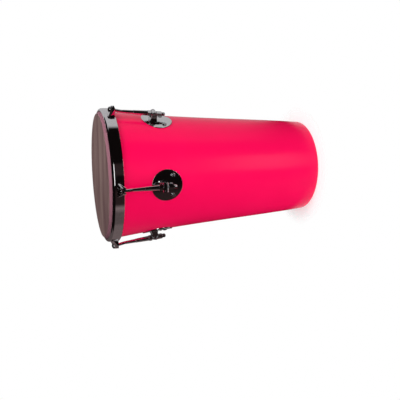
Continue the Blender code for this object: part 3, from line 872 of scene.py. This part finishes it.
# Rings a few tenths of a millimetre apart stand beside each step of the shank, to keep it crisp.
rings += [circle(SHANK_R, COLLAR_TOP + 0.0001, 24)]
for share in (0.25, 0.5, 0.75, 1):
    swell = SHANK_R + (SHANK_MOUTH_R - SHANK_R) * share
    rings.append(circle(swell, COLLAR_TOP + (SHANK_MOUTH - COLLAR_TOP) * share, 24))
rings.insert(-1, circle(SHANK_MOUTH_R, SHANK_MOUTH - 0.0004, 24))
rings += [circle(SHANK_MOUTH_R - 0.0001, SHANK_MOUTH + 0.0002, 24)]
rings += [circle(SHANK_MOUTH_R - SHANK_STEP, SHANK_MOUTH + up, 24) for up in (0.0004, 0.0007)]
for share in (0.5, 1):
    taper = SHANK_MOUTH_R - SHANK_STEP + (TAPER_END_R - SHANK_MOUTH_R + SHANK_STEP) * share
    rings.append(circle(taper, SHANK_MOUTH + (BEND_AT - TAPER_TO_BEND - SHANK_MOUTH) * share, 24))
for share in (0.0, 0.25, 0.5, 0.75, 1.0):
    past = (share - 0.5) * BEND_LENGTH
    before_bend = Matrix.Translation((0, 0, BEND_AT + min(past, 0)))
    after_bend = Matrix.Translation((0, 0, max(past, 0)))
    bend = before_bend @ Matrix.Rotation(NECK_LEAN * share, 4, "Y") @ after_bend
    rings.append([bend @ Vector(point) for point in circle(ROD_R, 0, 24)])
neck = [(ROD_R, NECK_LENGTH - ROD_HEAD_FILLET), (ROD_R + ROD_HEAD_FLARE, NECK_LENGTH)]
neck += [(ROD_HEAD_R - ROD_HEAD_EDGE, NECK_LENGTH), (ROD_HEAD_R, NECK_LENGTH + ROD_HEAD_EDGE)]
neck += [(ROD_HEAD_R, NECK_LENGTH + ROD_HEAD_H * ROD_HEAD_SKIRT)]
for share in (0.2, 0.4, 0.6, 0.8, 0.95):
    angle = share * math.pi / 2
    height = ROD_HEAD_H * (ROD_HEAD_SKIRT + (1 - ROD_HEAD_SKIRT) * math.sin(angle))
    neck.append((ROD_HEAD_R * math.cos(angle), NECK_LENGTH + height))
rings += [[neck_frame @ Vector(point) for point in circle(r, z, 24)] for r, z in neck]
rod = new_piece("tension_rod_forged", loft(rings), chrome, 30)
five(rod, rod_frame, "rod_{}", "tension_rod_{}")


# Tuning nuts. A long chromed hexagon with a round nose, run up the rod's thread against the
# barrel's flat. A spanner on it tunes the head.

NUT_FLATS = 0.0110
NUT_TOP = -0.0056
NUT_LOW = -0.0176
NUT_END = -0.0246
NUT_NOSE_R = 0.0046
NUT_NOSE_ROUND = 0.0006
NUT_STEP = 0.0003

nose = arc((NUT_NOSE_R - NUT_NOSE_ROUND, NUT_END + NUT_NOSE_ROUND), NUT_NOSE_ROUND, 0, -90, 3)
rings = [circle(bore, NUT_TOP, 48)] + hexagon_end(NUT_FLATS, NUT_TOP, -1, 48)
rings += list(reversed(hexagon_end(NUT_FLATS, NUT_LOW, 1, 48)))
rings += [circle(NUT_NOSE_R, NUT_LOW - NUT_STEP, 48)]
rings += [circle(r, z, 48) for r, z in nose]
rings += [circle(bore, NUT_END, 48)]
nut = new_piece("tuning_nut_long", loft(rings, tube=True), chrome, 25)
five(nut, rod_frame, "nut_{}", "tuning_nut_{}")


# Table. The drum stands on a small round pale table in a white room. The photograph was taken
# with the drum on its side, so it is the camera that is rolled.

TABLE_R = 0.16
TABLE_GAP = 0.0002

# Matt white paper: it shows as white as the room, and still darkens in the drum's shadow. It thins
# out towards its edge, so that no edge of it is mirrored in the shell, and it is clear from below,
# so that the drum's open end shows. It casts no shadow, because one lamp stands lower than it.
paper, sockets, links = new_material("paper_matt_white", Roughness=0.9, Specular_IOR_Level=0.2)
sockets["Base Color"].default_value = linear("#d4d4d4")
sockets["Emission Color"].default_value = linear("#ffffff")


def seen_or_mirrored(owner):
    """1 for rays that show a white background: the camera's, and those off or through a piece."""
    path = add_node(owner, "ShaderNodeLightPath").outputs
    seen = path["Is Camera Ray"]
    for ray in ("Is Glossy Ray", "Is Transmission Ray"):
        either = add_node(owner, "ShaderNodeMath", {0: seen, 1: path[ray]}, operation="MAXIMUM")
        seen = either.outputs[0]
    return seen


glow = add_node(
    paper, "ShaderNodeMath", {0: seen_or_mirrored(paper), 1: 0.5}, operation="MULTIPLY"
)
links.new(glow.outputs[0], sockets["Emission Strength"])
coords = add_node(paper, "ShaderNodeTexCoord")
radius = add_node(paper, "ShaderNodeVectorMath", {0: coords.outputs["Object"]}, operation="LENGTH")
thin = add_node(
    paper,
    "ShaderNodeMapRange",
    {"Value": radius.outputs["Value"], "From Min": SMALL_R, "From Max": TABLE_R},
    interpolation_type="SMOOTHSTEP",
)
below = add_node(paper, "ShaderNodeNewGeometry").outputs["Backfacing"]
absent = add_node(
    paper, "ShaderNodeMath", {0: thin.outputs["Result"], 1: below}, operation="MAXIMUM"
)
sheet = paper.node_tree.nodes["Principled BSDF"].outputs[0]
clear = add_node(paper, "ShaderNodeBsdfTransparent").outputs[0]
faded = add_node(paper, "ShaderNodeMixShader", {0: absent.outputs[0], 1: sheet, 2: clear})
links.new(faded.outputs[0], paper.node_tree.nodes["Material Output"].inputs["Surface"])
disc = bmesh.new()
bmesh.ops.create_circle(disc, cap_ends=True, segments=128, radius=TABLE_R)
table = new_piece("table", disc, paper)
table.location = (0, 0, -HEIGHT - TABLE_GAP)
table.visible_shadow = False
table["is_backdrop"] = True


# Room. An even soft grey light comes from all sides of it. Where the room itself is seen, or
# mirrored in the metal, it shows as white.

world = bpy.data.worlds.new("white_room")
bpy.context.scene.world = world
world.use_nodes = True
room = add_node(
    world,
    "ShaderNodeMix",
    {"Factor": seen_or_mirrored(world), 6: linear("#a0a0a0"), 7: linear("#ffffff")},
    data_type="RGBA",
)
background = world.node_tree.nodes["Background"]
world.node_tree.links.new(room.outputs[2], background.inputs["Color"])


# Flags. Cards of a few greys stand in rows all round the drum, out of the picture, as they do
# round polished metal so that it doesn't photograph as plain white. Only mirror-like faces show
# them, and they light nothing. A row is its wall's profile and its cards, placed by azimuth.

FLAGS_R = 2.4
FLAGS_THICK = 0.01
FLAGS_TOP = 1.30
BLACK_CARD = "#0d0909"
DARK_CARD = "#2a2020"
DIM_CARD = "#574c4c"
GREY_CARD = "#6c5e5e"
SILVER_CARD = "#7d6d6d"
PALE_CARD = "#bab8b9"

FLAG_ROWS = {
    "top": ([(FLAGS_R, FLAGS_TOP), (FLAGS_R, 2.40), (FLAGS_R * 0.6, 3.40), (0.0, 3.60)], [
        (-180, BLACK_CARD), (180, BLACK_CARD),
    ]),
    "high": ([(FLAGS_R, -0.20), (FLAGS_R, FLAGS_TOP)], [
        (-180, BLACK_CARD), (3, BLACK_CARD), (9, PALE_CARD), (84, PALE_CARD), (96, DIM_CARD),
        (174, DIM_CARD), (178, BLACK_CARD),
    ]),
    "middle": ([(FLAGS_R, -0.85), (FLAGS_R, -0.20)], [
        (-180, GREY_CARD), (-171, GREY_CARD), (-165, DIM_CARD), (-143, DIM_CARD),
        (-134, SILVER_CARD), (-127, DARK_CARD), (-108, DARK_CARD), (-97, BLACK_CARD),
        (-81, BLACK_CARD), (-78, DARK_CARD), (-62, DARK_CARD), (-59, BLACK_CARD),
        (3, BLACK_CARD), (9, PALE_CARD), (80, PALE_CARD), (100, GREY_CARD),
    ]),
    "low": ([(FLAGS_R, -1.60), (FLAGS_R, -0.85)], [
        (-180, DARK_CARD), (-120, DARK_CARD), (-104, BLACK_CARD), (-20, BLACK_CARD),
        (-14, PALE_CARD), (80, PALE_CARD), (87, DARK_CARD),
    ]),
    "bottom": ([(FLAGS_R, -2.40), (FLAGS_R, -1.60)], [
        (-180, DARK_CARD), (-120, DARK_CARD), (-104, BLACK_CARD), (80, BLACK_CARD),
        (120, DARK_CARD),
    ]),
    "under": ([(0.0, -3.60), (FLAGS_R * 0.6, -3.40), (FLAGS_R, -2.40)], [
        (-180, PALE_CARD), (-135, PALE_CARD), (-118, BLACK_CARD), (80, BLACK_CARD),
        (150, DARK_CARD), (170, PALE_CARD),
    ]),
}

# Matt card: it has no shine of its own, and is as bright in a mirror as its grey is written.
for row, (wall, greys) in FLAG_ROWS.items():
    card, sockets, links = new_material(
        "card_matt_" + row, Roughness=1.0, Specular_IOR_Level=0.0, Emission_Strength=1.0
    )
    sockets["Base Color"].default_value = linear("#000000")
    coords = add_node(card, "ShaderNodeTexCoord")
    place = add_node(card, "ShaderNodeSeparateXYZ", {"Vector": coords.outputs["Object"]})
    azimuth = add_node(
        card, "ShaderNodeMath", {0: place.outputs["Y"], 1: place.outputs["X"]}, operation="ARCTAN2"
    )
    round_room = add_node(
        card,
        "ShaderNodeMapRange",
        {"Value": azimuth.outputs[0], "From Min": -math.pi, "From Max": math.pi},
    )
    stops = [((degrees + 180) / 360, grey) for degrees, grey in greys]
    grey = add_node(card, "ShaderNodeValToRGB", {"Fac": round_room.outputs["Result"]}, stops)
    links.new(grey.outputs["Color"], sockets["Emission Color"])
    back_side = []
    for r, z in reversed(wall):
        over = math.copysign(FLAGS_THICK, z) if r == 0 else 0
        back_side.append((r + FLAGS_THICK, z + over))
    flags = new_piece("flags_" + row, turn(wall + back_side), card)
    flags.visible_camera = False
    flags.visible_diffuse = False
    flags.visible_shadow = False
    flags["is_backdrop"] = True


# Lamps. Three large soft ones light the drum evenly: a key from above, one from in front and a
# fill from below, all hidden from the metal. The metal shows two smaller and weaker ones instead.

AIM = Vector((0, 0, -0.25))


def softbox(name, azimuth_deg, elevation_deg, distance, width, height, power):
    """A rectangular lamp that faces the drum from a direction."""
    lamp = bpy.data.lights.new(name, "AREA")
    lamp.shape = "RECTANGLE"
    lamp.size = width
    lamp.size_y = height
    lamp.energy = power
    holder = bpy.data.objects.new(name, lamp)
    a, e = math.radians(azimuth_deg), math.radians(elevation_deg)
    out = Vector((math.cos(e) * math.cos(a), math.cos(e) * math.sin(a), math.sin(e)))
    holder.location = AIM + out * distance
    holder.rotation_euler = out.to_track_quat("Z", "Y").to_euler()
    bpy.context.scene.collection.objects.link(holder)
    return holder


softbox("strip", -78, 12, 1.7, 1.0, 0.35, 2.6)
softbox("low", -66, -33, 1.7, 0.8, 0.4, 1.4)
softbox("key", -30, 45, 2.0, 1.2, 1.0, 21).visible_glossy = False
softbox("face", -78, 5, 2.0, 1.2, 1.0, 11).visible_glossy = False
softbox("fill", -135, -65, 1.5, 0.8, 0.8, 17).visible_glossy = False


# Camera. It stands in front of the drum, above the level of its head, and looks down at its side.
# It is rolled by a quarter turn, so that the picture has the head at its left.

camera_data = bpy.data.cameras.new("camera")
camera_data.lens = 49.44
camera_data.sensor_width = 36
camera = bpy.data.objects.new("camera", camera_data)
camera.matrix_world = Matrix((
    (0.010314, 0.968006, 0.250715, 0.26814),
    (-0.308433, 0.241583, -0.920058, -1.26151),
    (-0.951190, -0.067839, 0.301056, 0.16636),
    (0, 0, 0, 1),
))
bpy.context.scene.collection.objects.link(camera)
bpy.context.scene.camera = camera
bpy.context.scene.view_settings.view_transform = "Standard"

low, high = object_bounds()
